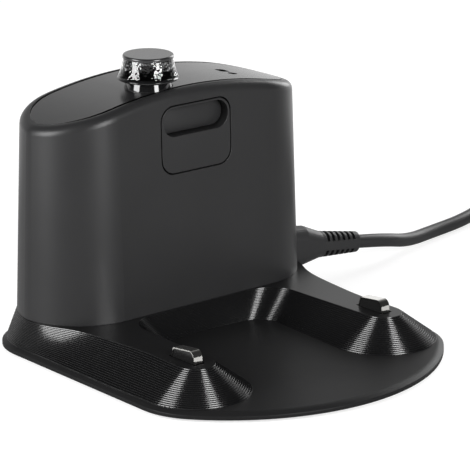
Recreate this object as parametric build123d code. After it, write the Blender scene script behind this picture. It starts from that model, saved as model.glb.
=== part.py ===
from build123d import *
import math
import os

# Charging dock for a robot vacuum, in millimetres.
# X runs to the right seen from the front, the front faces minus Y, and Z is up.
# The origin is on the floor, under the middle of the base.

# Base plan
base_half_width = 64.0
base_half_depth = 69.6
front_arc_spare = 12.0
base_corner_radius = 25.0
base_rear_radius = 23.0

# Base heights
foot_height = 1.2
apron_edge_top = 2.5
apron_top = 3.6
apron_slope_width = 2.2
apron_round = 4.0
apron_edge_round = 0.3
deck_top = 13.4
deck_wall = 1.6
deck_roof = 2.2

# Ridged bank, from its foot on the apron up to the deck
ridge_count = 20
bank_foot_margin = 1.6
nose_foot_radius = 19.3
nose_foot_y = -27.2
nose_top_radius = 6.6
nose_top_y = -28.0
arm_foot_lean = 2.0
arm_top_lean = -1.6
well_foot_setback = 4.1
well_foot_bow = 0.9
well_foot_corner = 8.5
well_top_setback = 0.6
well_top_bow = 0.4
well_top_corner = 11.5
deck_waist_setback = (-5.1, 13.9, 31.9)
deck_waist_x = (54.2, 50.2, 48.6)

# Tower
tower_half_width = 59.35
tower_rear_margin = 1.8
tower_depth = 45.9
tower_front_radius = 25.4
tower_rear_radius = 24.6
tower_side_round = 12.0
tower_wall = 2.4
tower_draft = 1.88
crown_height = 91.75
crown_radius = 176.5
crown_edge_round = 3.4
crown_cut_depth = 25.0
upstand_height = 4.0
upstand_wall = 1.6
housing_gap = 0.25

# Inlaid plate on the crown
plate_rim = 3.4
plate_thickness = 2.2
plate_ledge = 2.0
plate_gap = 0.4

# Front panel with its recess
panel_width = 31.0
panel_height = 24.2
panel_drop = 17.45
panel_corner = 5.5
panel_depth = 9.8
panel_flange = 2.5
panel_flange_thickness = 1.5
panel_gap = 0.25
recess_width = 29.4
recess_height = 10.2
recess_top_margin = 0.7
recess_depth = 5.3
lens_thickness = 1.2
lens_ledge = 1.4

# Beacon on the crown
beacon_x = -11.1
beacon_setback = 14.9
beacon_seat_depth = 0.6
beacon_seat_gap = 0.05
beacon_neck_radius = 8.5
beacon_neck_height = 3.1
beacon_flange_radius = 10.8
beacon_flange_height = 1.4
beacon_cone_rise = 1.7
beacon_ring_foot_radius = 10.4
beacon_ring_top_radius = 8.6
beacon_ring_height = 6.0
beacon_ring_bore = 6.4
beacon_cap_radius = 9.0
beacon_cap_thickness = 1.2
beacon_core_radius = 1.7
beacon_spigot_radius = 5.9
beacon_bore_radius = 4.5

# Status lights on the crown
light_x = 28.6
light_setback = 16.7
light_radius = 1.75
light_bore_depth = 10.0
mark_x = 28.5
mark_setback = 22.4
mark_width = 4.0
mark_length = 4.6

# Sprung charging contacts
contact_spacing = 85.0
contact_travel = 2.5
contact_front_y = -29.3
contact_rear_y = -16.6
contact_bend_y = -28.7
contact_back_bend_y = -17.9
contact_bend_z = 18.0
contact_back_bend_z = 16.8
contact_skirt = 1.6
strap_width = 3.7
strap_thickness = 0.4
strap_bend_round = 2.4
strap_back_round = 0.7
plunger_width = 3.2
contact_slot_width = 4.6
contact_slot_margin = 0.7
plunger_flange_width = 6.8
plunger_flange_thickness = 1.6
plunger_rest_gap = 0.15
spring_radius = 2.2
spring_wire = 0.6
spring_turns = 5
spring_spigot_radius = 1.5
spring_spigot_height = 1.2

# Bottom cover, its screws and feet
cover_thickness = 2.0
cover_gap = 0.15
cover_margin = 2.0
screw_radius = 1.3
screw_length = 8.0
screw_head_radius = 2.6
screw_head_height = 1.5
screw_boss_radius = 3.2
screw_fit = 0.05
arm_screw_y = 2.0
rear_screw_x = 20.0
rear_screw_margin = 5.8
tower_screw_radius = 1.5
tower_screw_length = 14.0
tower_screw_head_radius = 2.8
tower_screw_head_height = 1.8
tower_screw_x = (44.5, 43.5)
tower_screw_margin = (9.1, 8.3)
tower_boss_radius = 3.3
tower_boss_height = 22.0
foot_radius = 6.0
foot_recess = 0.8
foot_x = (27.0, 47.0)
foot_margin = (16.6, 15.6)

# Inside the tower
bay_half_width = 38.0
bay_front_margin = 7.1
bay_rear_margin = 10.8
ballast_thickness = 3.0
board_thickness = 1.6
board_z = 9.0
board_margin = 2.0
post_radius = 2.6
post_inset = 4.0
post_fit = 0.4
transformer_size = (24.0, 20.0, 18.0)
transformer_x = -14.0
bulk_capacitor_radius = 6.5
bulk_capacitor_height = 22.0
bulk_capacitor_x = 10.0
output_capacitor_radius = 4.0
output_capacitor_height = 14.0
output_capacitor_x = -31.0
emitter_board_width = 30.0
emitter_board_height = 21.0
emitter_standoff = 4.0
emitter_post_radius = 1.8
emitter_spacing = 14.0
emitter_radius = 2.5
emitter_length = 3.8
crown_board_thickness = 1.2
crown_board_drop = 1.3
crown_board_setback = (10.3, 31.1)
crown_board_x = (-24.0, 33.0)
crown_post_radius = 1.6
status_lamp_height = 0.7

# Power inlet and its connector, on a common axis that dips towards the floor
inlet_x = 57.5
inlet_setback = 23.6
inlet_z = 16.9
inlet_dip = 8.0
socket_length = 20.0
socket_width = 13.0
socket_height = 19.0
connector_height = 14.6
connector_width = 8.8
connector_insert = 8.6
socket_gap = 0.3
pin_radius = 1.15
pin_spacing = 8.6
pin_length = 8.0
pin_root = 4.0
connector_straight = 10.0
connector_body = 18.6
connector_waist_height = 10.2
connector_waist_width = 8.0
relief_length = 19.1
relief_end_height = 8.0
relief_end_width = 6.4
relief_slots = 6
relief_slot_width = 1.45
relief_spine = 3.6

# Mains cord: its route from the connector to the coil, and from the coil to the mains plug
cord_diameter = 5.2
cord_drop = 15.0
cord_route = (
    (127.0, 50.4, 4.5),
    (146.5, 57.5, 2.7),
    (168.0, 61.0, 2.8),
    (191.5, 70.6, 3.0),
)
coil_x = 231.0
coil_y = 47.0
coil_mean_diameter = 62.0
coil_turns_wide = 4
coil_turns_high = 2
coil_join_angle = 114.5
coil_leave_angle = 24.5
tail_route = (
    (272.1, 50.4, 7.8),
    (275.2, 35.7, 4.9),
    (273.9, 20.8, 2.9),
    (268.4, 7.6, 2.7),
)
tie_thickness = 0.6
tie_angle = 230.0
tie_arc = 16.0

# Mains plug with two flat blades, lying on its broad side
plug_heading = -112.6
plug_sleeve_length = 14.0
plug_sleeve_radius = 4.6
plug_length = 34.0
plug_width = 25.0
plug_height = 14.0
plug_corner = 4.0
blade_length = 17.0
blade_root = 3.0
blade_height = 6.3
blade_thickness = 1.5
blade_spacing = 12.7

front_arc_radius = base_half_width + front_arc_spare
contact_x = contact_spacing / 2
bank_height = deck_top - apron_top
roof_z = deck_top - deck_roof
cover_top = foot_height + cover_thickness
tower_rear_y = base_half_depth - tower_rear_margin
tower_front_y = tower_rear_y - tower_depth
tower_mid_y = (tower_front_y + tower_rear_y) / 2
tower_screw_places = (
    (-tower_screw_x[0], tower_front_y + tower_screw_margin[0]),
    (tower_screw_x[0], tower_front_y + tower_screw_margin[0]),
    (-tower_screw_x[1], tower_rear_y - tower_screw_margin[1]),
    (tower_screw_x[1], tower_rear_y - tower_screw_margin[1]),
)
foot_places = (
    (-foot_x[0], foot_margin[0] - base_half_depth),
    (foot_x[0], foot_margin[0] - base_half_depth),
    (-foot_x[1], base_half_depth - foot_margin[1]),
    (foot_x[1], base_half_depth - foot_margin[1]),
)
rear_screw_y = tower_rear_y - rear_screw_margin
bay_front_y = tower_front_y + bay_front_margin
bay_rear_y = tower_rear_y - bay_rear_margin
panel_z = crown_height - panel_drop
beacon_y = tower_front_y + beacon_setback
light_y = tower_front_y + light_setback
mark_y = tower_front_y + mark_setback
crown_board_y = tuple(tower_front_y + setback for setback in crown_board_setback)
inlet_y = tower_front_y + inlet_setback
crown_draft = (crown_height - deck_top) * math.tan(math.radians(tower_draft))
cord_radius = cord_diameter / 2
coil_width = coil_turns_wide * cord_diameter
coil_height = coil_turns_high * cord_diameter
coil_outer_turn = (coil_mean_diameter + coil_width - cord_diameter) / 2


def mix(low, high, share):
    return low + (high - low) * share


def crown_z(x):
    """Height of the arched crown above a place across its width."""
    return crown_height - crown_radius + math.sqrt(crown_radius**2 - x**2)


def prism(sketch, low, high):
    return extrude(Pos(0, 0, low) * sketch, high - low)


def rod(radius, x, y, low, high):
    return Pos(x, y, (low + high) / 2) * Cylinder(radius, high - low)


def block(x_span, y_span, z_span):
    size = [high - low for low, high in (x_span, y_span, z_span)]
    centre = [(low + high) / 2 for low, high in (x_span, y_span, z_span)]
    return Pos(*centre) * Box(*size)


def sides(shape):
    """The shape and its mirror image, left one first."""
    return [mirror(shape, Plane.YZ), shape]


def base_outline(inset=0.0):
    """Front edge on one large arc, straight sides, and four round corners."""
    arc_centre = front_arc_radius - base_half_depth
    rear = Pos(0, (arc_centre + base_half_depth) / 2) * Rectangle(
        2 * base_half_width, base_half_depth - arc_centre
    )
    front = Pos(0, arc_centre) * Circle(front_arc_radius)
    front &= Rectangle(2 * base_half_width, 2 * base_half_depth)
    plan = rear + front
    corners = [v for v in plan.vertices() if abs(v.X) > base_half_width - 1]
    plan = fillet([v for v in corners if v.Y > arc_centre + 1], base_rear_radius)
    plan = fillet([v for v in plan.vertices() if v.Y < arc_centre - 1], base_corner_radius)
    return offset(plan, -inset) if inset else plan


def bank_outline(climb, inset=0.0):
    """Outline of the ridged bank at a share of its climb: 0 at its foot and 1 at the deck.

    The right half runs from the middle of the rear edge, down the side, round the nose of the
    arm, back up the inner side and along the back of the well.
    """
    rear_y = mix(base_half_depth - bank_foot_margin, tower_rear_y + 0.4, climb) - inset
    side_x = mix(base_half_width - bank_foot_margin, tower_half_width + 0.2, climb) - inset
    corner = mix(base_rear_radius - bank_foot_margin, tower_rear_radius + 0.4, climb) - inset
    nose_x = contact_x
    nose_y = mix(nose_foot_y, nose_top_y, climb)
    nose = mix(nose_foot_radius, nose_top_radius, climb) - inset
    waist_y = [tower_front_y - setback for setback in deck_waist_setback]
    waist = [
        (mix(base_half_width - bank_foot_margin, x, climb) - inset, y)
        for x, y in zip(deck_waist_x, waist_y)
    ]
    well_y = tower_front_y - mix(well_foot_setback, well_top_setback, climb) + inset
    bow = mix(well_foot_bow, well_top_bow, climb)
    well_corner = mix(well_foot_corner, well_top_corner, climb) + inset
    inner_x = nose_x - nose
    well_x = inner_x + mix(arm_foot_lean, arm_top_lean, climb)
    turn = math.sqrt(0.5)

    side_top = (side_x, rear_y - corner)
    nose_out = (nose_x + nose, nose_y)
    nose_in = (inner_x, nose_y)
    well_in = (well_x, well_y - well_corner)
    well_out = (well_x - well_corner, well_y)
    half = [
        Line((0, rear_y), (side_x - corner, rear_y)),
        ThreePointArc(
            (side_x - corner, rear_y),
            (side_x - corner + corner * turn, rear_y - corner + corner * turn),
            side_top,
        ),
        Spline(side_top, *waist, nose_out, tangents=[(0, -1), (0, -1)]),
        ThreePointArc(nose_out, (nose_x, nose_y - nose), nose_in),
        Line(nose_in, well_in),
        ThreePointArc(
            well_in,
            (well_out[0] + well_corner * turn, well_in[1] + well_corner * turn),
            well_out,
        ),
    ]
    back = ThreePointArc(well_out, (0, well_y + bow), (-well_out[0], well_y))
    edges = half + [mirror(edge, Plane.YZ) for edge in half] + [back]
    return make_face(edges)


def tower_outline(inset=0.0):
    """Plan of the tower where it stands on the deck: its large corners meet at the sides."""
    half = tower_half_width - inset
    front = tower_front_y + inset
    rear = tower_rear_y - inset
    from_front = Pos(0, front + tower_depth) * Rectangle(2 * half, 2 * tower_depth)
    from_front = fillet(from_front.vertices().sort_by(Axis.Y)[:2], tower_front_radius - inset)
    from_rear = Pos(0, rear - tower_depth) * Rectangle(2 * half, 2 * tower_depth)
    from_rear = fillet(from_rear.vertices().sort_by(Axis.Y)[2:], tower_rear_radius - inset)
    plan = from_front & from_rear
    meeting = [v for v in plan.vertices() if abs(v.X) > half - 1]
    return fillet(meeting, tower_side_round - inset)


def crown_body(drop=0.0):
    """Everything below the arched crown, or below a level under it."""
    radius = crown_radius - drop
    return Pos(0, tower_mid_y, crown_height - crown_radius) * Rot(90, 0, 0) * Cylinder(
        radius, 3 * tower_depth
    )


def tower_body(inset=0.0, drop=0.0):
    """Drafted column under the crown."""
    column = extrude(
        Pos(0, 0, deck_top) * tower_outline(inset), crown_height - deck_top, taper=tower_draft
    )
    return column & crown_body(drop)


def along_inlet(shape, distance=0.0):
    """Places a shape whose own X is the inlet's axis, counted from the socket's face."""
    return Pos(inlet_x, inlet_y, inlet_z) * Rot(0, inlet_dip, 0) * Pos(distance, 0, 0) * shape


def inlet_point(distance):
    dip = math.radians(inlet_dip)
    return Vector(inlet_x + distance * math.cos(dip), inlet_y, inlet_z - distance * math.sin(dip))


def oval(height, width):
    """Upright oval across the inlet's axis."""
    return Plane.YZ * SlotOverall(height, width, rotation=90)


def inlet_cut():
    """Room for the socket in the housing and for the connector outside it."""
    body = Box(socket_length + 2 * socket_gap, socket_width + 2 * socket_gap, socket_height + 2 * socket_gap)
    mouth = extrude(oval(connector_height + 3, connector_width + 3), 14)
    return along_inlet(body, -socket_length / 2) + along_inlet(mouth)


def make_apron():
    """Thin slab with an upright edge, rounded over to its flat top."""
    slope = math.degrees(math.atan(apron_slope_width / (apron_top - apron_edge_top)))
    edge = prism(base_outline(), foot_height, apron_edge_top)
    apron = edge + extrude(
        Pos(0, 0, apron_edge_top) * base_outline(), apron_top - apron_edge_top, taper=slope
    )
    crest = apron.faces().sort_by(Axis.Z)[-1].edges()
    apron = fillet(crest, apron_round)
    lip = [e for e in apron.edges() if abs(e.center().Z - apron_edge_top) < 0.01 and e.bounding_box().size.Z < 0.01]
    return fillet(lip, apron_edge_round)


def make_base_moulding():
    """Apron and ridged deck in one hollow moulding."""
    body = make_apron()
    rise = bank_height / ridge_count
    for step in range(ridge_count):
        level = apron_top + step * rise
        climb = step / (ridge_count - 1)
        low = level if step else apron_edge_top
        body += prism(bank_outline(climb), low, level + rise)

    cover_pocket = prism(bank_outline(0, cover_margin), foot_height, cover_top)
    body -= cover_pocket
    floor = cover_top
    for ceiling in (5.0, 7.5, 10.0, roof_z):
        climb = min(1, (ceiling + deck_roof - apron_top) / bank_height)
        body -= prism(bank_outline(climb, deck_wall), floor, ceiling)
        floor = ceiling
    body -= block((-bay_half_width - 2, bay_half_width + 2), (bay_front_y, bay_rear_y), (floor, deck_top))

    lap = tower_wall + housing_gap
    upstand = tower_outline(lap) - tower_outline(lap + upstand_wall)
    body += prism(upstand, roof_z, deck_top + upstand_height)

    for x, y in cover_screw_places():
        body += rod(screw_boss_radius, x, y, cover_top, roof_z)
        body -= rod(screw_radius + screw_fit, x, y, foot_height, cover_top + screw_length)
    for x, y in tower_screw_places:
        body -= tower_boss(x, y, housing_gap)
        body -= rod(tower_screw_radius + screw_fit, x, y, roof_z - 1, deck_top)
    for x in (-contact_x, contact_x):
        body -= contact_slot(x)
    for x, y in foot_places[:2]:
        body -= rod(foot_radius, x, y, foot_height, foot_height + foot_recess)
    return body - inlet_cut()


def contact_slot(x):
    half = contact_slot_width / 2
    front = contact_front_y - contact_slot_margin
    rear = contact_rear_y + contact_slot_margin
    return block((x - half, x + half), (front, rear), (roof_z, deck_top))


def cover_screw_places():
    return (
        (-contact_x, arm_screw_y),
        (contact_x, arm_screw_y),
        (-rear_screw_x, rear_screw_y),
        (rear_screw_x, rear_screw_y),
    )


def post_places():
    x = bay_half_width - board_margin - post_inset
    front = bay_front_y + board_margin + post_inset
    rear = bay_rear_y - board_margin - post_inset
    return ((-x, front), (x, front), (-x, rear), (x, rear))


def make_bottom_cover():
    """Plate that closes the deck from below, with posts for the board and seats for the springs."""
    cover = prism(bank_outline(0, cover_margin + cover_gap), foot_height, cover_top)
    for x, y in post_places():
        cover += rod(post_radius, x, y, cover_top, board_z)
    for x in (-contact_x, contact_x):
        cover += rod(spring_spigot_radius, x, spring_y(), cover_top, cover_top + spring_spigot_height)
    cradle = block(
        (inlet_x - socket_length + 3, inlet_x - 5),
        (inlet_y - 4, inlet_y + 4),
        (cover_top, inlet_z - socket_height / 2 + 3),
    )
    cover += cradle - along_inlet(Box(socket_length + 4, socket_width, socket_height), -socket_length / 2)
    for x, y in cover_screw_places():
        cover -= rod(screw_radius + 2 * screw_fit, x, y, foot_height, cover_top)
        cover -= screw_head(x, y)
    for x, y in foot_places[2:]:
        cover -= rod(foot_radius, x, y, foot_height, foot_height + foot_recess)
    return cover


def screw_head(x, y):
    """Countersunk head, flush with the underside of the cover."""
    head = Cone(screw_head_radius, screw_radius, screw_head_height)
    return Pos(x, y, foot_height + screw_head_height / 2) * head


def cross_recess(x, y, low, arm, depth):
    """Cross-shaped driver recess that opens downwards."""
    width = arm / 3
    bar = block((x - arm, x + arm), (y - width, y + width), (low, low + depth))
    return bar + block((x - width, x + width), (y - arm, y + arm), (low, low + depth))


def make_cover_screw(x, y):
    shank = rod(screw_radius, x, y, foot_height + screw_head_height, cover_top + screw_length - 0.5)
    return screw_head(x, y) + shank - cross_recess(x, y, foot_height, 1.3, 0.9)


def make_tower_screw(x, y):
    low = roof_z - tower_screw_head_height
    head = rod(tower_screw_head_radius, x, y, low, roof_z)
    shank = rod(tower_screw_radius, x, y, roof_z, roof_z + tower_screw_length)
    return head + shank - cross_recess(x, y, low, 1.5, 1.1)


def make_rubber_foot(x, y):
    return rod(foot_radius - 0.1, x, y, 0, foot_height + foot_recess)


def make_ballast():
    plate = block(
        (-bay_half_width, bay_half_width),
        (bay_front_y + 0.5, bay_rear_y - 0.5),
        (cover_top, cover_top + ballast_thickness),
    )
    for x, y in post_places():
        plate -= rod(post_radius + post_fit, x, y, cover_top, board_z)
    return fillet(plate.edges().filter_by(Axis.Z).group_by(SortBy.LENGTH)[-1].filter_by(
        lambda edge: abs(edge.center().X) > bay_half_width - 1), 3)


def make_tower_shell():
    """Drafted, arched housing, open below and at the crown for the inlaid plate."""
    outer = tower_body()
    crown = outer.faces().sort_by(Axis.Z)[-1]
    shell = fillet(crown.edges(), crown_edge_round)
    shell -= tower_body(tower_wall, plate_thickness + tower_wall)
    shell -= plate_body(0.0, 0.0, plate_thickness)
    opening = tower_outline(crown_draft + plate_rim + plate_ledge)
    shell -= prism(opening, crown_height - crown_cut_depth, crown_height + 1)

    for x, y in tower_screw_places:
        shell += tower_boss(x, y) & tower_body(tower_wall / 2)
        shell -= rod(tower_screw_radius + screw_fit, x, y, deck_top, deck_top + tower_boss_height - 4)
    shell -= panel_prism(panel_width + 2 * panel_gap, panel_height + 2 * panel_gap, panel_corner, -2, 6)
    return shell - inlet_cut()


def tower_boss(x, y, gap=0.0):
    """Screw boss with a rib that ties it to the nearest corner of the wall."""
    side = 1 if y > tower_mid_y else -1
    angle = math.degrees(math.atan2(side, math.copysign(1, x)))
    rib = Rot(0, 0, angle) * Pos(4.5, 0, 0) * Box(9, 1.6 + 2 * gap, tower_boss_height)
    boss = Cylinder(tower_boss_radius + gap, tower_boss_height) + rib
    return Pos(x, y, deck_top + tower_boss_height / 2) * boss


def plate_body(gap, low, high):
    """Slice of the plate's outline between two levels under the arched crown."""
    outline = tower_outline(crown_draft + plate_rim + gap)
    column = prism(outline, crown_height - crown_cut_depth, crown_height + 1)
    return (column & crown_body(low)) - crown_body(high)


def make_top_plate():
    """Inlaid arched plate with the beacon's seat, two light openings and board posts."""
    plate = plate_body(plate_gap, 0.0, plate_thickness)
    seat = crown_z(beacon_x) - beacon_seat_depth
    under = crown_z(beacon_x) - plate_thickness
    plate -= rod(beacon_neck_radius + beacon_seat_gap, beacon_x, beacon_y, seat, crown_height + 1)
    plate -= rod(beacon_spigot_radius + 0.15, beacon_x, beacon_y, under - 3, crown_height + 1)
    plate -= rod(light_radius, light_x, light_y, crown_height - light_bore_depth, crown_height + 1)
    plate -= prism(mark_outline(), crown_height - light_bore_depth, crown_height + 1)
    for x, y in crown_post_places():
        top = crown_z(abs(x) + crown_post_radius) - plate_thickness + 0.6
        plate += rod(crown_post_radius, x, y, crown_board_top(), top)
    return plate


def mark_outline(gap=0.0):
    plan = Rectangle(mark_width - 2 * gap, mark_length - 2 * gap)
    return Pos(mark_x, mark_y) * fillet(plan.vertices(), 1.0)


def crown_board_top():
    return crown_z(light_x) - plate_thickness - crown_board_drop


def crown_post_places():
    inset = 2.5
    return tuple(
        (x, y)
        for x in (crown_board_x[0] + inset, crown_board_x[1] - inset)
        for y in (crown_board_y[0] + inset, crown_board_y[1] - inset)
    )


def panel_prism(width, height, corner, front, back):
    """Rounded block across the front wall, from one depth to another behind the front face."""
    face = fillet(Rectangle(width, height).vertices(), corner)
    low = tower_front_y + front
    return extrude(Plane((0, low, panel_z), x_dir=(1, 0, 0), z_dir=(0, 1, 0)) * face, back - front)


def recess_z():
    return panel_z + panel_height / 2 - recess_top_margin - recess_height / 2


def panel_face_y():
    """Front of the drafted wall at the middle of the recess."""
    return tower_front_y + (recess_z() - deck_top) * math.tan(math.radians(tower_draft))


def recess_prism(inset, low, high):
    plan = SlotOverall(recess_width - 2 * inset, recess_height - 2 * inset)
    place = Plane((0, low, recess_z()), x_dir=(1, 0, 0), z_dir=(0, 1, 0))
    return extrude(place * plan, high - low)


def panel_back_y():
    return tower_front_y + panel_depth


def make_front_panel():
    """Insert in the tower's front, with a deep oval recess near its top."""
    panel = panel_prism(panel_width, panel_height, panel_corner, -2, panel_depth)
    flange = panel_prism(
        panel_width + 2 * panel_flange,
        panel_height + 2 * panel_flange,
        panel_corner + panel_flange,
        0,
        tower_wall + 2.4 + panel_flange_thickness,
    )
    panel += flange & tower_body(tower_wall + panel_gap, plate_thickness + tower_wall + panel_gap)
    panel &= tower_body()
    floor = panel_face_y() + recess_depth + lens_thickness
    panel -= recess_prism(0, tower_front_y - 3, floor)
    panel -= recess_prism(lens_ledge, tower_front_y - 3, panel_back_y() + 1)
    for x in (-emitter_board_width / 2 + 4, emitter_board_width / 2 - 4):
        post = Plane((x, panel_back_y(), emitter_post_z()), z_dir=(0, 1, 0)) * Circle(emitter_post_radius)
        panel += extrude(post, emitter_standoff)
    return panel


def emitter_post_z():
    return panel_z - panel_height / 2 + 4


def make_panel_lens():
    front = panel_face_y() + recess_depth
    return recess_prism(0.1, front, front + lens_thickness)


def emitter_board_y():
    return panel_back_y() + emitter_standoff


def make_emitter_board():
    low = panel_z - panel_height / 2 + 1
    return block(
        (-emitter_board_width / 2, emitter_board_width / 2),
        (emitter_board_y(), emitter_board_y() + board_thickness),
        (low, low + emitter_board_height),
    )


def make_emitter(x):
    """Infrared lamp with a domed tip, pointing out through the recess."""
    place = Plane((x, emitter_board_y(), recess_z()), x_dir=(1, 0, 0), z_dir=(0, -1, 0))
    flange = extrude(place * Circle(emitter_radius + 0.4), 0.8)
    body = extrude(place * Circle(emitter_radius), emitter_length)
    body = fillet(body.edges().sort_by(Axis.Y)[0], emitter_radius * 0.9)
    return flange + body


def beacon_levels():
    seat = crown_z(beacon_x) - beacon_seat_depth
    neck = seat + beacon_seat_depth + beacon_neck_height
    ring = neck + beacon_flange_height
    return seat, neck, ring, ring + beacon_ring_height


def turned(points):
    """Solid turned about the beacon's axis from a half section of radius and height."""
    section = make_face(Polyline(*points, close=True))
    return Pos(beacon_x, beacon_y, 0) * revolve(Plane.XZ * section, Axis.Z)


def make_beacon_base():
    """Neck and flange in one turned form, with a spigot through the plate."""
    seat, neck, ring, top = beacon_levels()
    spigot = seat - plate_thickness - 1.2
    return turned(
        [
            (beacon_bore_radius, spigot),
            (beacon_spigot_radius, spigot),
            (beacon_spigot_radius, seat),
            (beacon_neck_radius, seat),
            (beacon_neck_radius, neck),
            (beacon_flange_radius - 0.3, neck + 0.4),
            (beacon_flange_radius, neck + 0.7),
            (beacon_flange_radius, neck + 1.0),
            (beacon_ring_foot_radius, ring),
            (beacon_ring_bore, ring + beacon_cone_rise),
            (beacon_bore_radius, ring + beacon_cone_rise),
        ]
    )


def make_beacon_ring():
    """Clear ring on the cone of the base and under the cap, wider at its foot."""
    seat, neck, ring, top = beacon_levels()
    return turned(
        [
            (beacon_ring_bore, ring + beacon_cone_rise),
            (beacon_ring_foot_radius, ring),
            (beacon_ring_foot_radius - 0.5, ring + 1.2),
            (beacon_ring_top_radius, top),
            (beacon_ring_bore, top),
        ]
    )


def make_beacon_core():
    """Lamp holder in the neck, with a slim stem up to the cap."""
    seat, neck, ring, top = beacon_levels()
    return turned(
        [
            (0, seat - 2),
            (beacon_bore_radius - 0.1, seat - 2),
            (beacon_bore_radius - 0.1, ring + beacon_cone_rise),
            (beacon_core_radius, ring + beacon_cone_rise + 0.8),
            (beacon_core_radius, top),
            (0, top),
        ]
    )


def make_beacon_cap():
    seat, neck, ring, top = beacon_levels()
    disc = rod(beacon_cap_radius, beacon_x, beacon_y, top, top + beacon_cap_thickness)
    return fillet(disc.edges().sort_by(Axis.Z)[-1], 0.6)


def make_beacon_lamp():
    """Lamp under the holder, on the crown board."""
    seat, neck, ring, top = beacon_levels()
    low = crown_board_top()
    return rod(2.5, beacon_x, beacon_y, low, seat - 2)


def make_status_light():
    low = crown_board_top() + status_lamp_height
    pipe = rod(light_radius - 0.05, light_x, light_y, low, crown_height)
    return pipe & crown_body()


def make_status_mark():
    pipe = prism(mark_outline(0.05), crown_board_top() + status_lamp_height, crown_height)
    return pipe & crown_body()


def make_status_lamp():
    low = crown_board_top()
    return block((light_x - 2.4, light_x + 2.4), (light_y - 2, mark_y + 2), (low, low + status_lamp_height))


def make_crown_board():
    top = crown_board_top()
    board = block(crown_board_x, crown_board_y, (top - crown_board_thickness, top))
    return fillet(board.edges().filter_by(Axis.Z), 1.5)


def contact_profile(inset=0.0):
    """Side view of a contact's hump, with its two bends rounded."""
    low = roof_z + contact_skirt
    steep = (contact_front_y + inset, low)
    lean = (contact_rear_y - inset, low)
    outline = Polyline(
        steep,
        (contact_bend_y + inset * 0.7, contact_bend_z - inset),
        (contact_back_bend_y - inset * 0.7, contact_back_bend_z - inset),
        lean,
        close=True,
    )
    hump = make_face(outline)
    hump = fillet(hump.vertices().sort_by(Axis.Y)[-1], strap_bend_round - inset)
    back = hump.vertices().sort_by(Axis.X)[-2]
    return fillet(back, strap_back_round - inset / 2)


def contact_slice(sketch, width):
    return extrude(Plane((contact_x, 0, 0), x_dir=(0, 1, 0), z_dir=(1, 0, 0)) * sketch, width / 2, both=True)


def make_contact_strap():
    """Thin bright strip bent over the plunger."""
    return contact_slice(contact_profile() - contact_profile(strap_thickness), strap_width)


def spring_y():
    return (contact_front_y + contact_rear_y) / 2


def plunger_flange_z():
    return roof_z - plunger_rest_gap - plunger_flange_thickness


def make_contact_plunger():
    """Moulded hump on a flange that catches under the deck, with a spigot for the spring."""
    low = plunger_flange_z()
    body = contact_slice(contact_profile(strap_thickness), plunger_width)
    neck = block(
        (contact_x - plunger_width / 2, contact_x + plunger_width / 2),
        (contact_front_y + strap_thickness, contact_rear_y - strap_thickness),
        (low, roof_z + contact_skirt),
    )
    flange = block(
        (contact_x - plunger_flange_width / 2, contact_x + plunger_flange_width / 2),
        (contact_front_y - 1.2, contact_rear_y + 1.2),
        (low, low + plunger_flange_thickness),
    )
    spigot = rod(spring_spigot_radius, contact_x, spring_y(), low - spring_spigot_height, low)
    return body + neck + flange + spigot


def make_contact_spring():
    """Coil spring from the cover up to the plunger's flange."""
    low = cover_top
    high = plunger_flange_z()
    wire = spring_wire / 2
    height = high - low - 2 * wire
    helix = Helix(height / spring_turns, height, spring_radius)
    section = Plane(helix @ 0, z_dir=helix % 0) * RegularPolygon(wire, 8)
    return Pos(contact_x, spring_y(), low + wire) * sweep(section, helix, is_frenet=True)


def make_main_board():
    board = block(
        (-bay_half_width + board_margin, bay_half_width - board_margin),
        (bay_front_y + board_margin, bay_rear_y - board_margin),
        (board_z, board_z + board_thickness),
    )
    return fillet(board.edges().filter_by(Axis.Z), 2)


def board_top():
    return board_z + board_thickness


def make_transformer():
    """Laminated core round a wound bobbin."""
    width, depth, height = transformer_size
    low = board_top()
    middle = (bay_front_y + bay_rear_y) / 2
    x = transformer_x
    core = block((x - width / 2, x + width / 2), (middle - 6, middle + 6), (low, low + height))
    core -= block((x - width / 2 + 5, x + width / 2 - 5), (middle - 7, middle + 7), (low + 5, low + height - 5))
    winding = block(
        (x - width / 2 + 5, x + width / 2 - 5),
        (middle - depth / 2, middle + depth / 2),
        (low + 5, low + height - 5),
    )
    winding = fillet(winding.edges().filter_by(Axis.X), 3)
    return core + winding


def make_capacitor(x, radius, height):
    """Round can with a rolled groove near its foot."""
    low = board_top()
    middle = (bay_front_y + bay_rear_y) / 2
    can = rod(radius, x, middle, low, low + height)
    can = fillet(can.edges().sort_by(Axis.Z)[-1], 0.8)
    groove = Pos(x, middle, low + 2.5) * Torus(radius + 0.4, 0.8)
    return can - groove


def make_power_inlet():
    """Socket block with an oval cavity."""
    body = Box(socket_length, socket_width, socket_height)
    body = fillet(body.edges().filter_by(Axis.X), 1.5)
    cavity = extrude(oval(connector_height + 0.5, connector_width + 0.5), -connector_insert - 0.4)
    socket = along_inlet(body, -socket_length / 2) - along_inlet(cavity)
    for side in (-1, 1):
        socket -= inlet_pin(side, pin_radius)
    return socket


def inlet_pin(side, radius):
    start = -connector_insert - 0.4 - pin_root
    pin = extrude(Plane.YZ * Pos(0, side * pin_spacing / 2) * Circle(radius), pin_root + pin_length)
    return along_inlet(pin, start)


def make_inlet_pin(side):
    return inlet_pin(side, pin_radius)


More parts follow.
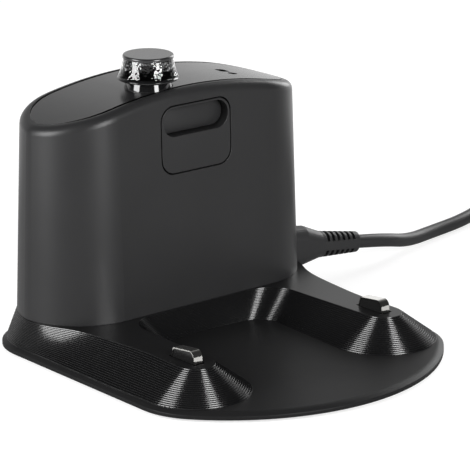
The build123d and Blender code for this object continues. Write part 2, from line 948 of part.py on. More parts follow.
def make_connector():
    """Oval connector in the socket, tapering to a slotted strain relief."""
    nose = extrude(oval(connector_height, connector_width), -connector_insert)
    body = extrude(oval(connector_height + 0.6, connector_width + 0.6), connector_straight)
    waist = Pos(connector_body, 0, 0) * oval(connector_waist_height, connector_waist_width)
    body += loft([Pos(connector_straight, 0, 0) * oval(connector_height + 0.6, connector_width + 0.6), waist])
    tip = Pos(connector_body + relief_length, 0, 0) * oval(relief_end_height, relief_end_width)
    relief = loft([waist, tip])
    pitch = (relief_length - 3) / relief_slots
    for number in range(relief_slots):
        place = connector_body + 2.4 + number * pitch
        for side in (-1, 1):
            slot = Box(relief_slot_width, connector_waist_width + 2, connector_waist_height)
            relief -= Pos(place, 0, side * (relief_spine + connector_waist_height) / 2) * slot
    connector = along_inlet(nose + body + relief)
    for side in (-1, 1):
        connector -= inlet_pin(side, pin_radius + 0.25)
    return connector


def lead_points():
    """Route of the lead: out along the connector's axis, down to the floor, then into the coil."""
    end = connector_body + relief_length
    start = [tuple(inlet_point(end)), tuple(inlet_point(end + cord_drop))]
    return start + list(cord_route) + [coil_point(coil_join_angle, 0)]


def coil_point(angle, layer):
    """Middle of the cord in the outer turn of a layer, counted from the lowest."""
    turn = math.radians(angle)
    height = tie_thickness + cord_radius + layer * cord_diameter
    return (
        coil_x + coil_outer_turn * math.cos(turn),
        coil_y + coil_outer_turn * math.sin(turn),
        height,
    )


def tail_points():
    """Route of the tail: off the top of the coil and down to the mains plug."""
    return [coil_point(coil_leave_angle, coil_turns_high - 1)] + list(tail_route)


def arc_radii(points):
    """Largest arcs that the runs on both sides of each corner leave room for."""
    radii = []
    for before, corner, after in zip(points, points[1:], points[2:]):
        one = Vector(*corner) - Vector(*before)
        two = Vector(*after) - Vector(*corner)
        half_turn = math.radians(one.get_angle(two)) / 2
        radii.append(0.45 * min(one.length, two.length) / math.tan(half_turn))
    return radii


def make_tube(points, name):
    """Round cord along straight runs joined by tangent arcs."""
    radii = arc_radii(points)
    path = FilletPolyline(*points, radius=radii)
    section = Plane(path @ 0, z_dir=path % 0) * Circle(cord_radius)
    tube = sweep(section, path)
    expected = math.pi * cord_radius**2 * path.length
    print(name, "arc radii", [round(r, 1) for r in radii], "length", round(path.length, 1))
    print(name, "volume", round(tube.volume, 1), "section times length", round(expected, 1))
    return tube


def coil_section(gap=0.0):
    """Cross-section of the bundle of turns."""
    box = Rectangle(coil_width + 2 * gap, coil_height + 2 * gap)
    return Pos(coil_mean_diameter / 2, tie_thickness + coil_height / 2) * fillet(
        box.vertices(), cord_radius * 0.9 + gap
    )


def make_coil():
    """Outer shape of the put-away turns."""
    return Pos(coil_x, coil_y, 0) * revolve(Plane.XZ * coil_section(), Axis.Z)


def make_coil_tie():
    """Band round the bundle of turns, on the side away from the lead and the plug."""
    band = coil_section(tie_thickness) - coil_section()
    tie = revolve(Plane.XZ * band, Axis.Z, revolution_arc=tie_arc)
    return Pos(coil_x, coil_y, 0) * Rot(0, 0, tie_angle) * tie


def across(distance, height=0.0):
    """Plane across the cord at a distance along the plug and a height above the cord's middle."""
    return Plane((distance, 0, height), x_dir=(0, 1, 0), z_dir=(1, 0, 0))


def plug_lift():
    """Height of the plug's middle above the middle of the cord that enters it."""
    return plug_height / 2 + 0.1 - tail_route[-1][2]


def along_plug(shape):
    return Pos(*tail_route[-1]) * Rot(0, 0, plug_heading) * shape


def make_mains_plug():
    """Moulded plug with a tapered sleeve where the cord enters."""
    root = plug_sleeve_length - 1
    lift = plug_lift()
    sleeve = loft([
        across(0) * Circle(cord_radius + 0.05),
        across(plug_sleeve_length, lift * 0.45) * Circle(plug_sleeve_radius),
    ])
    near = across(root, lift) * RectangleRounded(plug_width * 0.5, plug_height * 0.8, plug_corner)
    waist = across(root + plug_length * 0.5, lift) * RectangleRounded(plug_width, plug_height, plug_corner)
    body = loft([near, waist]) + extrude(waist, plug_length * 0.5)
    plug = along_plug(sleeve + body)
    for side in (-1, 1):
        plug -= make_plug_blade(side)
    return plug


def make_plug_blade(side):
    blade = Box(blade_length + blade_root, blade_thickness, blade_height)
    tip = blade.edges().filter_by(Axis.Y).group_by(Axis.X)[-1]
    blade = chamfer(tip, 1.2)
    face = plug_sleeve_length - 1 + plug_length
    place = Pos(face + (blade_length - blade_root) / 2, side * blade_spacing / 2, plug_lift())
    return along_plug(place * blade)


def main():
    parts = {
        "base_moulding": make_base_moulding(),
        "bottom_cover": make_bottom_cover(),
        "ballast_plate": make_ballast(),
        "tower_shell": make_tower_shell(),
        "top_plate": make_top_plate(),
        "front_panel": make_front_panel(),
        "panel_lens": make_panel_lens(),
        "emitter_board": make_emitter_board(),
        "emitter_left": make_emitter(-emitter_spacing / 2),
        "emitter_right": make_emitter(emitter_spacing / 2),
        "beacon_base": make_beacon_base(),
        "beacon_ring": make_beacon_ring(),
        "beacon_core": make_beacon_core(),
        "beacon_cap": make_beacon_cap(),
        "beacon_lamp": make_beacon_lamp(),
        "status_light": make_status_light(),
        "status_mark": make_status_mark(),
        "status_lamp": make_status_lamp(),
        "crown_board": make_crown_board(),
        "main_board": make_main_board(),
        "transformer": make_transformer(),
        "bulk_capacitor": make_capacitor(bulk_capacitor_x, bulk_capacitor_radius, bulk_capacitor_height),
        "output_capacitor": make_capacitor(output_capacitor_x, output_capacitor_radius, output_capacitor_height),
        "power_inlet": make_power_inlet(),
        "inlet_pin_lower": make_inlet_pin(-1),
        "inlet_pin_upper": make_inlet_pin(1),
        "cord_connector": make_connector(),
        "cord_lead": make_tube(lead_points(), "cord_lead"),
        "cord_coil": make_coil(),
        "coil_tie": make_coil_tie(),
        "cord_tail": make_tube(tail_points(), "cord_tail"),
        "mains_plug": make_mains_plug(),
        "plug_blade_left": make_plug_blade(-1),
        "plug_blade_right": make_plug_blade(1),
    }
    for side, strap, plunger, spring in zip(
        ("left", "right"),
        sides(make_contact_strap()),
        sides(make_contact_plunger()),
        sides(make_contact_spring()),
    ):
        parts[side + "_contact_strap"] = strap
        parts[side + "_contact_plunger"] = plunger
        parts[side + "_contact_spring"] = spring
    for number, (x, y) in enumerate(cover_screw_places(), 1):
        parts[f"cover_screw_{number}"] = make_cover_screw(x, y)
    for number, (x, y) in enumerate(tower_screw_places, 1):
        parts[f"tower_screw_{number}"] = make_tower_screw(x, y)
    for number, (x, y) in enumerate(foot_places, 1):
        parts[f"rubber_foot_{number}"] = make_rubber_foot(x, y)

    os.makedirs("parts", exist_ok=True)
    for name, shape in parts.items():
        export_step(shape, f"parts/{name}.step")
    print(len(parts), "nodes written")


main()
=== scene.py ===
import math

import bmesh
import bpy
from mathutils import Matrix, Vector


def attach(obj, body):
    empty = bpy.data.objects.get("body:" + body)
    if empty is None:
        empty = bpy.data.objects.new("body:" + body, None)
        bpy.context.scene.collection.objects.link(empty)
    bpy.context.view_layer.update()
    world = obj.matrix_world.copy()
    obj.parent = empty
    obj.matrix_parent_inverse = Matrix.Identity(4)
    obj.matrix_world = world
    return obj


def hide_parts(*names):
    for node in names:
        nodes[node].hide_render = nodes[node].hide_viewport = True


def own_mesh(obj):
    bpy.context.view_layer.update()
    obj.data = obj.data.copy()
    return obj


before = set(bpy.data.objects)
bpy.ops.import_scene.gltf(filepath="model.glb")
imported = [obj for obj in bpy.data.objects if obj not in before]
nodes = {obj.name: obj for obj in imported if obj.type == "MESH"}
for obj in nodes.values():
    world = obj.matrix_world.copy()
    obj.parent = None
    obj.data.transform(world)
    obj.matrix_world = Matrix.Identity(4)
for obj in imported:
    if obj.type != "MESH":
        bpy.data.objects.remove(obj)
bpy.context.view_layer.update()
print("frame loaded:", len(nodes), "nodes")

mm = 0.001

# The camera stands where the photograph was taken from
cameraView = {
    "place": (-0.63962, -0.76634, 0.34803),
    "lookAt": (0.01736, 0.0236, 0.0345),
    "lens": 229.8,
    "sensorWidth": 36,
    "farClip": 20,
}


def setAimed(thing, place, target):
    # For a camera or a lamp
    thing.location = place
    aim = Vector(target) - thing.location
    thing.rotation_euler = aim.to_track_quat("-Z", "Y").to_euler()
    bpy.context.scene.collection.objects.link(thing)


def addCamera():
    data = bpy.data.cameras.new("camera")
    data.lens = cameraView["lens"]
    data.sensor_width = cameraView["sensorWidth"]
    data.clip_end = cameraView["farClip"]
    camera = bpy.data.objects.new("camera", data)
    setAimed(camera, cameraView["place"], cameraView["lookAt"])
    bpy.context.scene.camera = camera


addCamera()
print("camera placed")

# Mains cord, in millimetres: its route out of the connector, the coil, and its tail
cordShape = {
    "diameter": 5.2,
    "route": [
        (94.833, 45.5, 11.653),
        (109.687, 45.5, 9.566),
        (127.0, 50.4, 4.5),
        (146.5, 57.5, 2.7),
        (168.0, 61.0, 2.8),
        (191.5, 70.6, 3.0),
    ],
    "coilCentre": (231.0, 47.0),
    "outerTurn": 38.8,
    "lowerLayer": 3.2,
    "joinAngle": 114.5,
    "windingAngle": 2610.0,
    "pointsPerTurn": 20,
    "inwardSteps": (270.0, 630.0, 990.0),
    "upwardStep": 1260.0,
    "outwardSteps": (1530.0, 1890.0, 2250.0),
    "stepWidth": 90.0,
    "tail": [
        (272.1, 50.4, 7.8),
        (275.2, 35.7, 4.9),
        (273.9, 20.8, 2.9),
        (268.4, 7.6, 2.7),
    ],
    "splineOrder": 3,
    "stepsAlong": 6,
    "stepsRound": 8,
}


def eased(angle, start):
    share = min(max((angle - start) / cordShape["stepWidth"], 0), 1)
    return share * share * (3 - 2 * share)


def coilPoints():
    # Two layers of four turns: inwards below, up, and outwards on top
    spacing = cordShape["diameter"]
    count = round(cordShape["windingAngle"] / 360 * cordShape["pointsPerTurn"])
    swell = 1 / math.cos(math.pi / cordShape["pointsPerTurn"])
    points = []
    for index in range(count + 1):
        angle = cordShape["windingAngle"] * index / count
        inward = sum(eased(angle, start) for start in cordShape["inwardSteps"])
        outward = sum(eased(angle, start) for start in cordShape["outwardSteps"])
        radius = (cordShape["outerTurn"] - spacing * (inward - outward)) * swell
        height = cordShape["lowerLayer"] + spacing * eased(angle, cordShape["upwardStep"])
        turn = math.radians(cordShape["joinAngle"] - angle)
        x = cordShape["coilCentre"][0] + radius * math.cos(turn)
        y = cordShape["coilCentre"][1] + radius * math.sin(turn)
        points.append((x, y, height))
    return points


def makeCord():
    points = cordShape["route"] + coilPoints() + cordShape["tail"]
    curve = bpy.data.curves.new("mainsCord", "CURVE")
    curve.dimensions = "3D"
    # The radius of each point is the cord's, so the bevel has a depth of one
    curve.bevel_depth = 1
    curve.bevel_resolution = cordShape["stepsRound"]
    curve.use_fill_caps = True
    spline = curve.splines.new("NURBS")
    spline.points.add(len(points) - 1)
    for place, point in zip(points, spline.points):
        point.co = (place[0] * mm, place[1] * mm, place[2] * mm, 1)
        point.radius = cordShape["diameter"] / 2 * mm
    spline.order_u = cordShape["splineOrder"]
    spline.use_endpoint_u = True
    spline.resolution_u = cordShape["stepsAlong"]
    cord = bpy.data.objects.new("mainsCord", curve)
    bpy.context.scene.collection.objects.link(cord)
    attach(cord, "dock")
    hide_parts("cord_lead", "cord_coil", "cord_tail")
    return cord


cord = makeCord()
print("cord laid")

# Turned foot of the beacon: its neck narrows towards the flange
beaconFoot = {
    "centre": (-11.1, 36.8),
    "profile": [
        (4.5, 89.0),
        (8.5, 90.8),
        (8.5, 91.2),
        (7.9, 93.9),
        (10.3, 94.2),
        (10.75, 94.5),
        (10.8, 94.9),
        (10.4, 95.28),
        (6.4, 96.98),
        (4.5, 96.98),
    ],
    "steps": 96,
}


def newPiece(name, shape, sharpFrom=35):
    bmesh.ops.recalc_face_normals(shape, faces=shape.faces)
    mesh = bpy.data.meshes.new(name)
    shape.to_mesh(mesh)
    shape.free()
    mesh.polygons.foreach_set("use_smooth", [True] * len(mesh.polygons))
    mesh.set_sharp_from_angle(angle=math.radians(sharpFrom))
    piece = bpy.data.objects.new(name, mesh)
    bpy.context.scene.collection.objects.link(piece)
    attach(piece, "dock")
    return piece


def makeBeaconFoot():
    shape = bmesh.new()
    x, y = beaconFoot["centre"]
    ring = [shape.verts.new(((x + r) * mm, y * mm, z * mm)) for r, z in beaconFoot["profile"]]
    edges = [shape.edges.new(pair) for pair in zip(ring, ring[1:] + ring[:1])]
    bmesh.ops.spin(
        shape,
        geom=ring + edges,
        cent=(x * mm, y * mm, 0),
        axis=(0, 0, 1),
        angle=2 * math.pi,
        steps=beaconFoot["steps"],
        use_merge=True,
    )
    piece = newPiece("beaconFoot", shape)
    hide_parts("beacon_base")
    return piece


# Floor of the recess: an oval window set a little way in, with an eased rim
recessWindow = {
    "middle": 80.6,
    "width": 28.7,
    "height": 9.5,
    "front": 27.4,
    "back": 30.5,
    "rim": 0.35,
    "rimSteps": 3,
    "pointsPerEnd": 24,
}


def makeRecessWindow():
    values = recessWindow
    radius = values["height"] / 2
    reach = values["width"] / 2 - radius
    shape = bmesh.new()
    ring = []
    for side in (1, -1):
        for step in range(values["pointsPerEnd"] + 1):
            angle = math.pi * (step / values["pointsPerEnd"] - 0.5)
            x = side * (reach + radius * math.cos(angle))
            z = values["middle"] + side * radius * math.sin(angle)
            ring.append(shape.verts.new((x * mm, values["back"] * mm, z * mm)))
    back = shape.faces.new(ring)
    front = bmesh.ops.extrude_face_region(shape, geom=[back])["geom"]
    moved = [part for part in front if isinstance(part, bmesh.types.BMVert)]
    forward = (values["front"] - values["back"]) * mm
    bmesh.ops.translate(shape, verts=moved, vec=(0, forward, 0))
    rim = [part for part in front if isinstance(part, bmesh.types.BMEdge)]
    bmesh.ops.bevel(
        shape,
        geom=rim,
        offset=values["rim"] * mm,
        affect="EDGES",
        segments=values["rimSteps"],
        profile=0.5,
        material=-1,
    )
    piece = newPiece("recessWindow", shape)
    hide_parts("panel_lens")
    return piece


# Plan of the tower: three arcs on each side, as centre, radius and the angle where each ends
towerPlan = {
    "frontY": 21.9,
    "rearY": 67.8,
    "arcs": [
        ((33.95, 47.3), 25.4, -8.94),
        ((47.19, 45.22), 12.0, 9.22),
        ((34.75, 43.2), 24.6, 90.0),
    ],
    "crownTop": 91.75,
    "crownRadius": 176.5,
}
plateEdge = {"inset": 6.37, "tolerance": 0.12, "drawnIn": 0.9, "topTilt": 0.6}
panelEdge = {"middle": 74.3, "width": 31.0, "height": 24.2, "drawnIn": 0.2}


def crownHeight(x):
    radius = towerPlan["crownRadius"]
    return towerPlan["crownTop"] - radius + math.sqrt(radius * radius - x * x)


def planInset(x, y):
    # How far a place lies inside the tower's outline, and the way further in
    for (cx, cy), radius, last in towerPlan["arcs"]:
        angle = math.degrees(math.atan2(y - cy, abs(x) - cx))
        if abs(x) > cx and angle <= last:
            distance = math.hypot(abs(x) - cx, y - cy)
            inX = math.copysign(cx - abs(x), x) / distance
            return radius - distance, (inX, (cy - y) / distance)
    front, rear = y - towerPlan["frontY"], towerPlan["rearY"] - y
    return (front, (0, 1)) if front < rear else (rear, (0, -1))


def nodeCopy(name, node):
    piece = bpy.data.objects.new(name, nodes[node].data.copy())
    bpy.context.scene.collection.objects.link(piece)
    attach(piece, "dock")
    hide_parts(node)
    return piece


def makeCrownPlate():
    # The inlaid plate with a wider groove round it
    piece = nodeCopy("crownPlate", "top_plate")
    for vert in piece.data.vertices:
        x, y, z = (value / mm for value in vert.co)
        inset, (inX, inY) = planInset(x, y)
        if abs(inset - plateEdge["inset"]) < plateEdge["tolerance"]:
            newX = x + inX * plateEdge["drawnIn"]
            newY = y + inY * plateEdge["drawnIn"]
            z += crownHeight(newX) - crownHeight(x)
            vert.co = (newX * mm, newY * mm, z * mm)
    return piece


def makePanel():
    # The front panel with a wider gap round it
    piece = nodeCopy("recessedPanel", "front_panel")
    narrow = 1 - 2 * panelEdge["drawnIn"] / panelEdge["width"]
    low = 1 - 2 * panelEdge["drawnIn"] / panelEdge["height"]
    middle = panelEdge["middle"] * mm
    for vert in piece.data.vertices:
        vert.co.x *= narrow
        vert.co.z = middle + (vert.co.z - middle) * low
    return piece


def makeSpring(side):
    node = side + "_contact_spring"
    piece = nodeCopy(side + "Spring", node)
    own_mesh(piece)
    return piece


springPieces = [makeSpring("left"), makeSpring("right")]
basePiece = nodeCopy("ridgedBase", "base_moulding")
beaconFootPiece = makeBeaconFoot()
windowPiece = makeRecessWindow()
platePiece = makeCrownPlate()
panelPiece = makePanel()
print("pieces modelled")


# Floor, world and lamps
white = (1, 1, 1, 1)
studio = {
    "floorReach": 4,
    "floorColour": 0.45,
    "floorGlow": 0.62,
    "sweepGlow": 1.0,
    "backdropLevel": 1.0,
    "roomLevel": 0.03,
    "worldOnMatte": 0.3,
    "backdropTowards": (0.643, 0.766, 0.0),
    "backdropSides": (0.2, 0.75),
    "backdropTop": (0.2, 0.9),
    "sweepStart": (0.12, 0.4),
}


def combined(tree, kind, first, second):
    # A Math node on two sockets or numbers
    node = tree.nodes.new("ShaderNodeMath")
    node.operation = kind
    for socket, value in zip(node.inputs, (first, second)):
        if isinstance(value, bpy.types.NodeSocket):
            tree.links.new(value, socket)
        else:
            socket.default_value = value
    return node.outputs[0]


def seenStraight(tree):
    # One for what the camera sees straight or through glass
    path = tree.nodes.new("ShaderNodeLightPath").outputs
    return combined(tree, "MAXIMUM", path["Is Camera Ray"], path["Is Transmission Ray"])


def seenInGloss(tree):
    return tree.nodes.new("ShaderNodeLightPath").outputs["Is Glossy Ray"]


def ramp(tree, socket, start, end, low, high):
    node = tree.nodes.new("ShaderNodeMapRange")
    node.interpolation_type = "SMOOTHSTEP"
    tree.links.new(socket, node.inputs["Value"])
    node.inputs["From Min"].default_value = start
    node.inputs["From Max"].default_value = end
    node.inputs["To Min"].default_value = low
    node.inputs["To Max"].default_value = high
    return node.outputs["Result"]


def along(tree, direction):
    # How far a direction or a place lies towards the backdrop
    towards = tree.nodes.new("ShaderNodeVectorMath")
    towards.operation = "DOT_PRODUCT"
    towards.inputs[1].default_value = studio["backdropTowards"]
    tree.links.new(direction, towards.inputs[0])
    return towards.outputs["Value"]


def backdropStrength(tree):
    # A white backdrop behind the object, in an otherwise dim room
    direction = tree.nodes.new("ShaderNodeTexCoord").outputs["Generated"]
    height = tree.nodes.new("ShaderNodeSeparateXYZ")
    tree.links.new(direction, height.inputs[0])
    behind = ramp(tree, along(tree, direction), *studio["backdropSides"], 0, 1)
    below = ramp(tree, height.outputs["Z"], *studio["backdropTop"], 1, 0)
    level = tree.nodes.new("ShaderNodeMapRange")
    share = combined(tree, "MULTIPLY", behind, below)
    tree.links.new(share, level.inputs["Value"])
    level.inputs["To Min"].default_value = studio["roomLevel"]
    level.inputs["To Max"].default_value = studio["backdropLevel"]
    return level.outputs["Result"]


def setWorld():
    world = bpy.data.worlds.new("studio")
    bpy.context.scene.world = world
    world.use_nodes = True
    tree = world.node_tree
    back = tree.nodes["Background"]
    back.inputs["Color"].default_value = white
    back.inputs["Strength"].default_value = studio["worldOnMatte"]
    seen = tree.nodes.new("ShaderNodeBackground")
    seen.inputs["Color"].default_value = white
    tree.links.new(backdropStrength(tree), seen.inputs["Strength"])
    mix = tree.nodes.new("ShaderNodeMixShader")
    isSeen = combined(tree, "MAXIMUM", seenStraight(tree), seenInGloss(tree))
    tree.links.new(isSeen, mix.inputs[0])
    tree.links.new(back.outputs[0], mix.inputs[1])
    tree.links.new(seen.outputs[0], mix.inputs[2])
    tree.links.new(mix.outputs[0], tree.nodes["World Output"].inputs["Surface"])


def addFloor():
    shape = bmesh.new()
    bmesh.ops.create_grid(shape, x_segments=1, y_segments=1, size=studio["floorReach"])
    mesh = bpy.data.meshes.new("floor")
    shape.to_mesh(mesh)
    shape.free()
    floor = bpy.data.objects.new("floor", mesh)
    bpy.context.scene.collection.objects.link(floor)
    material = bpy.data.materials.new("paleFloor")
    material.use_nodes = True
    tree = material.node_tree
    tree.nodes.clear()
    matte = tree.nodes.new("ShaderNodeBsdfDiffuse")
    matte.inputs["Color"].default_value = (studio["floorColour"],) * 3 + (1,)
    glow = tree.nodes.new("ShaderNodeEmission")
    glow.inputs["Color"].default_value = white
    straight = combined(tree, "MULTIPLY", seenStraight(tree), studio["floorGlow"])
    # Behind the object the floor sweeps up into the backdrop, so it shines as that does
    place = tree.nodes.new("ShaderNodeTexCoord").outputs["Object"]
    sweep = ramp(tree, along(tree, place), *studio["sweepStart"], 0, studio["sweepGlow"])
    inGloss = combined(tree, "MULTIPLY", seenInGloss(tree), sweep)
    strength = combined(tree, "MAXIMUM", straight, inGloss)
    tree.links.new(strength, glow.inputs["Strength"])
    total = tree.nodes.new("ShaderNodeAddShader")
    tree.links.new(matte.outputs[0], total.inputs[0])
    tree.links.new(glow.outputs[0], total.inputs[1])
    output = tree.nodes.new("ShaderNodeOutputMaterial")
    tree.links.new(total.outputs[0], output.inputs["Surface"])
    mesh.materials.append(material)


# Softboxes round the object, all turned towards one place on it
lampTarget = (0, 0, 0.04)
lamps = {
    "left": {"place": (-0.91, 0.14, 0.34), "size": (0.52, 0.62), "power": 17.5},
    "front": {"place": (0.02, -0.93, 0.34), "size": (0.36, 0.62), "power": 15.0},
    "right": {"place": (0.95, 0.28, 0.4), "size": (0.36, 0.62), "power": 4.5},
}


def addLamps():
    for name, values in lamps.items():
        data = bpy.data.lights.new(name, "AREA")
        data.shape = "RECTANGLE"
        data.size, data.size_y = values["size"]
        data.energy = values["power"]
        lamp = bpy.data.objects.new(name, data)
        setAimed(lamp, values["place"], lampTarget)


setWorld()
addFloor()
addLamps()
bpy.context.scene.view_settings.view_transform = "Standard"
print("studio set")


# Moulded and painted finishes, with grain, depth and round in millimetres
finishes = {
    "towerPlastic": {
        "colour": (0.012, 0.012, 0.0124), "roughness": 0.36, "specular": 0.24,
        "grain": 0.35, "depth": 0.010, "round": 0.4,
    },
    "panelPlastic": {
        "colour": (0.012, 0.012, 0.0124), "roughness": 0.36, "specular": 0.24,
        "grain": 0.35, "depth": 0.010, "round": 0.4,
    },
    "basePlastic": {
        "colour": (0.004, 0.004, 0.0042), "roughness": 0.19, "specular": 0.5,
        "grain": 0.5, "depth": 0.002, "round": 0.07,
    },
    "apronPlastic": {
        "colour": (0.007, 0.007, 0.0072), "roughness": 0.45, "specular": 0.09,
        "grain": 0.5, "depth": 0.006, "round": 0.2,
    },
    "deckPlastic": {
        "colour": (0.005, 0.005, 0.0052), "roughness": 0.3, "specular": 0.22,
        "grain": 0.5, "depth": 0.004, "round": 0.2,
    },
    # Near-black without reflection: the own colour of the status light and mark, and painted shade
    # on the crown plate's edges and opening walls
    "markAndPaintedShade": {
        "colour": (0.002, 0.002, 0.002), "roughness": 0.35, "specular": 0.0,
        "grain": 0.5, "depth": 0.002, "round": 0.2,
    },
    # The ridge finish with almost no reflection: painted shade for the flat treads between the
    # ridges
    "paintedValleyShade": {
        "colour": (0.004, 0.004, 0.0042), "roughness": 0.19, "specular": 0.06,
        "grain": 0.5, "depth": 0.002, "round": 0.07,
    },
    "platePlastic": {
        "colour": (0.011, 0.011, 0.0115), "roughness": 0.26,
        "grain": 1.2, "depth": 0.003, "round": 0.2,
    },
    "beaconPlastic": {
        "colour": (0.004, 0.004, 0.0042), "roughness": 0.06,
        "grain": 2.0, "depth": 0.001, "round": 0.15,
    },
    "capPlastic": {
        "colour": (0.012, 0.012, 0.0125), "roughness": 0.22,
        "grain": 1.2, "depth": 0.004, "round": 0.25,
    },
    "plungerPlastic": {
        "colour": (0.006, 0.006, 0.006), "roughness": 0.22,
        "grain": 0.4, "depth": 0.006, "round": 0.15,
    },
    "footRubber": {
        "colour": (0.02, 0.02, 0.02), "roughness": 0.75,
        "grain": 0.3, "depth": 0.02, "round": 0.3,
    },
    "cordJacket": {
        "colour": (0.012, 0.012, 0.0125), "roughness": 0.48, "specular": 0.3,
        "grain": 0.6, "depth": 0.01, "round": 0.2,
    },
    "socketPlastic": {
        "colour": (0.01, 0.01, 0.01), "roughness": 0.4,
        "grain": 0.4, "depth": 0.01, "round": 0.15,
    },
    "ferrite": {
        "colour": (0.06, 0.055, 0.05), "roughness": 0.6,
        "grain": 0.5, "depth": 0.02, "round": 0.2,
    },
    "sleeve": {
        "colour": (0.02, 0.02, 0.05), "roughness": 0.25,
        "grain": 1.0, "depth": 0.005, "round": 0.2,
    },
    "laminate": {
        "colour": (0.01, 0.09, 0.03), "roughness": 0.3,
        "grain": 0.8, "depth": 0.01, "round": 0.1,
    },
    "castIron": {
        "colour": (0.12, 0.12, 0.12), "roughness": 0.6,
        "grain": 0.9, "depth": 0.05, "round": 0.2,
    },
}

# Each ridge of the base is rounded over towards its top
ridgedBy = {"basePlastic": {"foot": 3.6, "rise": 0.49, "flat": 0.3, "bend": 0.5}}


def roundedRidges(tree, place, normal, values):
    parts = tree.nodes.new("ShaderNodeSeparateXYZ")
    tree.links.new(place, parts.inputs[0])
    climbed = combined(tree, "SUBTRACT", parts.outputs["Z"], values["foot"] * mm)
    ridges = combined(tree, "DIVIDE", climbed, values["rise"] * mm)
    share = combined(tree, "FRACT", ridges, 0)
    above = combined(tree, "MAXIMUM", combined(tree, "SUBTRACT", share, values["flat"]), 0)
    square = combined(tree, "MULTIPLY", above, above)
    fall = combined(tree, "MULTIPLY", square, -values["bend"])
    bump = tree.nodes.new("ShaderNodeBump")
    bump.inputs["Distance"].default_value = values["rise"] * mm
    tree.links.new(fall, bump.inputs["Height"])
    tree.links.new(normal, bump.inputs["Normal"])
    return bump.outputs["Normal"]


def newMaterial(name):
    # Its nodes, its shader and the place on the piece that the pattern follows
    material = bpy.data.materials.new(name)
    material.use_nodes = True
    tree = material.node_tree
    place = tree.nodes.new("ShaderNodeTexCoord").outputs["Object"]
    return tree, tree.nodes["Principled BSDF"], place


def varied(tree, shader, pattern, values, spread):
    # The pattern takes the colour and the roughness a little either way
    tint = tree.nodes.new("ShaderNodeMix")
    tint.data_type = "RGBA"
    for name, share in zip("AB", spread["colour"]):
        tint.inputs[name].default_value = tuple(min(c * share, 1) for c in values["colour"]) + (1,)
    tree.links.new(pattern, tint.inputs["Factor"])
    tree.links.new(tint.outputs["Result"], shader.inputs["Base Color"])
    gloss = tree.nodes.new("ShaderNodeMapRange")
    gloss.inputs["To Min"].default_value = values["roughness"] * spread["roughness"][0]
    gloss.inputs["To Max"].default_value = values["roughness"] * spread["roughness"][1]
    tree.links.new(pattern, gloss.inputs["Value"])
    tree.links.new(gloss.outputs["Result"], shader.inputs["Roughness"])


mouldedSpread = {
    "colour": (0.9, 1.12),
    "roughness": (0.88, 1.12),
    "cloudScale": 45,
    "cloudDetail": 4,
    "grainDetail": 3,
    "grainStrength": 0.5,
    "plainSpecular": 0.5,
    "edgeSamples": 6,
}


def mouldedFinish(name):
    values = finishes[name]
    tree, shader, place = newMaterial(name)
    grain = tree.nodes.new("ShaderNodeTexNoise")
    grain.inputs["Scale"].default_value = 1 / (values["grain"] * mm)
    grain.inputs["Detail"].default_value = mouldedSpread["grainDetail"]
    tree.links.new(place, grain.inputs["Vector"])
    cloud = tree.nodes.new("ShaderNodeTexNoise")
    cloud.inputs["Scale"].default_value = mouldedSpread["cloudScale"]
    cloud.inputs["Detail"].default_value = mouldedSpread["cloudDetail"]
    tree.links.new(place, cloud.inputs["Vector"])
    varied(tree, shader, cloud.outputs["Fac"], values, mouldedSpread)
    specular = values.get("specular", mouldedSpread["plainSpecular"])
    shader.inputs["Specular IOR Level"].default_value = specular

    edge = tree.nodes.new("ShaderNodeBevel")
    edge.samples = mouldedSpread["edgeSamples"]
    edge.inputs["Radius"].default_value = values["round"] * mm
    normal = edge.outputs["Normal"]
    if name in ridgedBy:
        normal = roundedRidges(tree, place, normal, ridgedBy[name])
    bump = tree.nodes.new("ShaderNodeBump")
    bump.inputs["Strength"].default_value = mouldedSpread["grainStrength"]
    bump.inputs["Distance"].default_value = values["depth"] * mm
    tree.links.new(grain.outputs["Fac"], bump.inputs["Height"])
    tree.links.new(normal, bump.inputs["Normal"])
    tree.links.new(bump.outputs["Normal"], shader.inputs["Normal"])


# Metals, with the width of their brushed lines in millimetres
metals = {
    "contactMetal": {"colour": (0.80, 0.79, 0.76), "roughness": 0.09, "brush": 0.25},
    "springSteel": {"colour": (0.55, 0.55, 0.56), "roughness": 0.28, "brush": 0.2},
    "zincSteel": {"colour": (0.60, 0.60, 0.60), "roughness": 0.32, "brush": 0.3},
    "platedBrass": {"colour": (0.78, 0.66, 0.42), "roughness": 0.24, "brush": 0.3},
}
metalSpread = {
    "colour": (0.88, 1.08),
    "roughness": (0.7, 1.4),
    "stretch": (1, 0.12, 1),
    "detail": 4,
}


def metalFinish(name):
    values = metals[name]
    tree, shader, place = newMaterial(name)
    shader.inputs["Metallic"].default_value = 1
    stretch = tree.nodes.new("ShaderNodeMapping")
    stretch.inputs["Scale"].default_value = metalSpread["stretch"]
    tree.links.new(place, stretch.inputs["Vector"])
    scratch = tree.nodes.new("ShaderNodeTexNoise")
    scratch.inputs["Scale"].default_value = 1 / (values["brush"] * mm)
    scratch.inputs["Detail"].default_value = metalSpread["detail"]
    tree.links.new(stretch.outputs["Vector"], scratch.inputs["Vector"])
    varied(tree, shader, scratch.outputs["Fac"], values, metalSpread)


# Clear plastics, with the width and depth of their ripples in millimetres
clears = {
    "clearRing": {
        "colour": (0.74, 0.75, 0.75), "roughness": 0.02, "ior": 1.49,
        "ripple": 1.1, "depth": 0.12,
    },
    "clearEpoxy": {
        "colour": (0.85, 0.88, 0.95), "roughness": 0.05, "ior": 1.5,
        "ripple": 1.5, "depth": 0.01,
    },
}
clearSpread = {"colour": (1, 0.93), "roughness": (0.7, 1.5)}


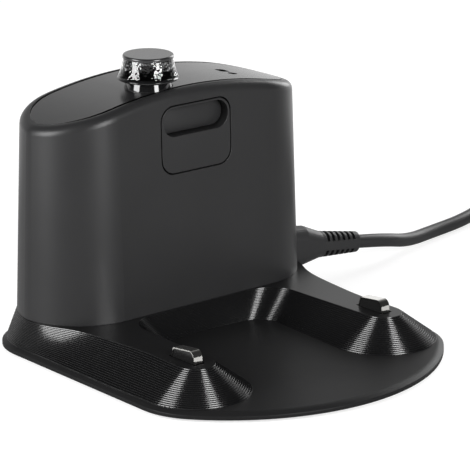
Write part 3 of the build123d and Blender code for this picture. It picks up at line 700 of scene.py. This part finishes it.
def clearFinish(name):
    values = clears[name]
    tree, shader, place = newMaterial(name)
    shader.inputs["Transmission Weight"].default_value = 1
    shader.inputs["IOR"].default_value = values["ior"]
    ripple = tree.nodes.new("ShaderNodeTexVoronoi")
    ripple.inputs["Scale"].default_value = 1 / (values["ripple"] * mm)
    tree.links.new(place, ripple.inputs["Vector"])
    varied(tree, shader, ripple.outputs["Distance"], values, clearSpread)
    bump = tree.nodes.new("ShaderNodeBump")
    bump.inputs["Distance"].default_value = values["depth"] * mm
    tree.links.new(ripple.outputs["Distance"], bump.inputs["Height"])
    tree.links.new(bump.outputs["Normal"], shader.inputs["Normal"])


# Which finish each CAD node wears
nodeFinishes = {
    "towerPlastic": ["tower_shell"],
    "basePlastic": ["bottom_cover"],
    "markAndPaintedShade": ["status_light", "status_mark"],
    "beaconPlastic": ["beacon_core"],
    "capPlastic": ["beacon_cap"],
    "plungerPlastic": ["left_contact_plunger", "right_contact_plunger"],
    "footRubber": ["rubber_foot_1", "rubber_foot_2", "rubber_foot_3", "rubber_foot_4"],
    "cordJacket": ["cord_connector", "mains_plug", "coil_tie"],
    "socketPlastic": ["power_inlet"],
    "ferrite": ["transformer"],
    "sleeve": ["bulk_capacitor", "output_capacitor"],
    "laminate": ["main_board", "emitter_board", "crown_board"],
    "castIron": ["ballast_plate"],
    "contactMetal": ["left_contact_strap", "right_contact_strap"],
    "zincSteel": [
        f"{kind}_screw_{number}" for kind in ("cover", "tower") for number in (1, 2, 3, 4)
    ],
    "platedBrass": ["inlet_pin_lower", "inlet_pin_upper", "plug_blade_left", "plug_blade_right"],
    "clearRing": ["beacon_ring"],
    "clearEpoxy": ["emitter_left", "emitter_right", "beacon_lamp", "status_lamp"],
}


def dress(piece, *names):
    piece.data.materials.clear()
    for name in names:
        piece.data.materials.append(bpy.data.materials[name])


# The base in one piece: glossy ridges, dull apron and satin deck; the flat treads between the
# ridges get a copy of the ridge finish with its reflection turned down, which is painted shade in
# the valleys
baseSurfaces = {"apronTop": 3.7, "deckTop": 13.3, "valleyTilt": 0.8}


def dressBase(piece):
    dress(piece, "basePlastic", "apronPlastic", "deckPlastic", "paintedValleyShade")
    for face in piece.data.polygons:
        height = face.center.z / mm
        if height < baseSurfaces["apronTop"]:
            face.material_index = 1
        elif height > baseSurfaces["deckTop"]:
            face.material_index = 2
        else:
            # Upward-facing treads between the ridges take the painted valley shade
            face.material_index = 3 if face.normal.z > baseSurfaces["valleyTilt"] else 0


def dressPlate(piece):
    # The plate's edges and the walls of its openings wear the near-black finish without
    # reflection, as painted shade in the groove round the plate and in its openings
    dress(piece, "platePlastic", "markAndPaintedShade")
    for face in piece.data.polygons:
        face.material_index = 0 if face.normal.z > plateEdge["topTilt"] else 1


def finishPieces():
    for name in finishes:
        mouldedFinish(name)
    for name in metals:
        metalFinish(name)
    for name in clears:
        clearFinish(name)
    for name, members in nodeFinishes.items():
        for member in members:
            dress(nodes[member], name)
    dress(cord, "cordJacket")
    dressBase(basePiece)
    dress(beaconFootPiece, "beaconPlastic")
    dress(windowPiece, "panelPlastic")
    dressPlate(platePiece)
    dress(panelPiece, "panelPlastic")
    for piece in springPieces:
        dress(piece, "springSteel")


finishPieces()
print("finishes set")

bpy.context.view_layer.update()
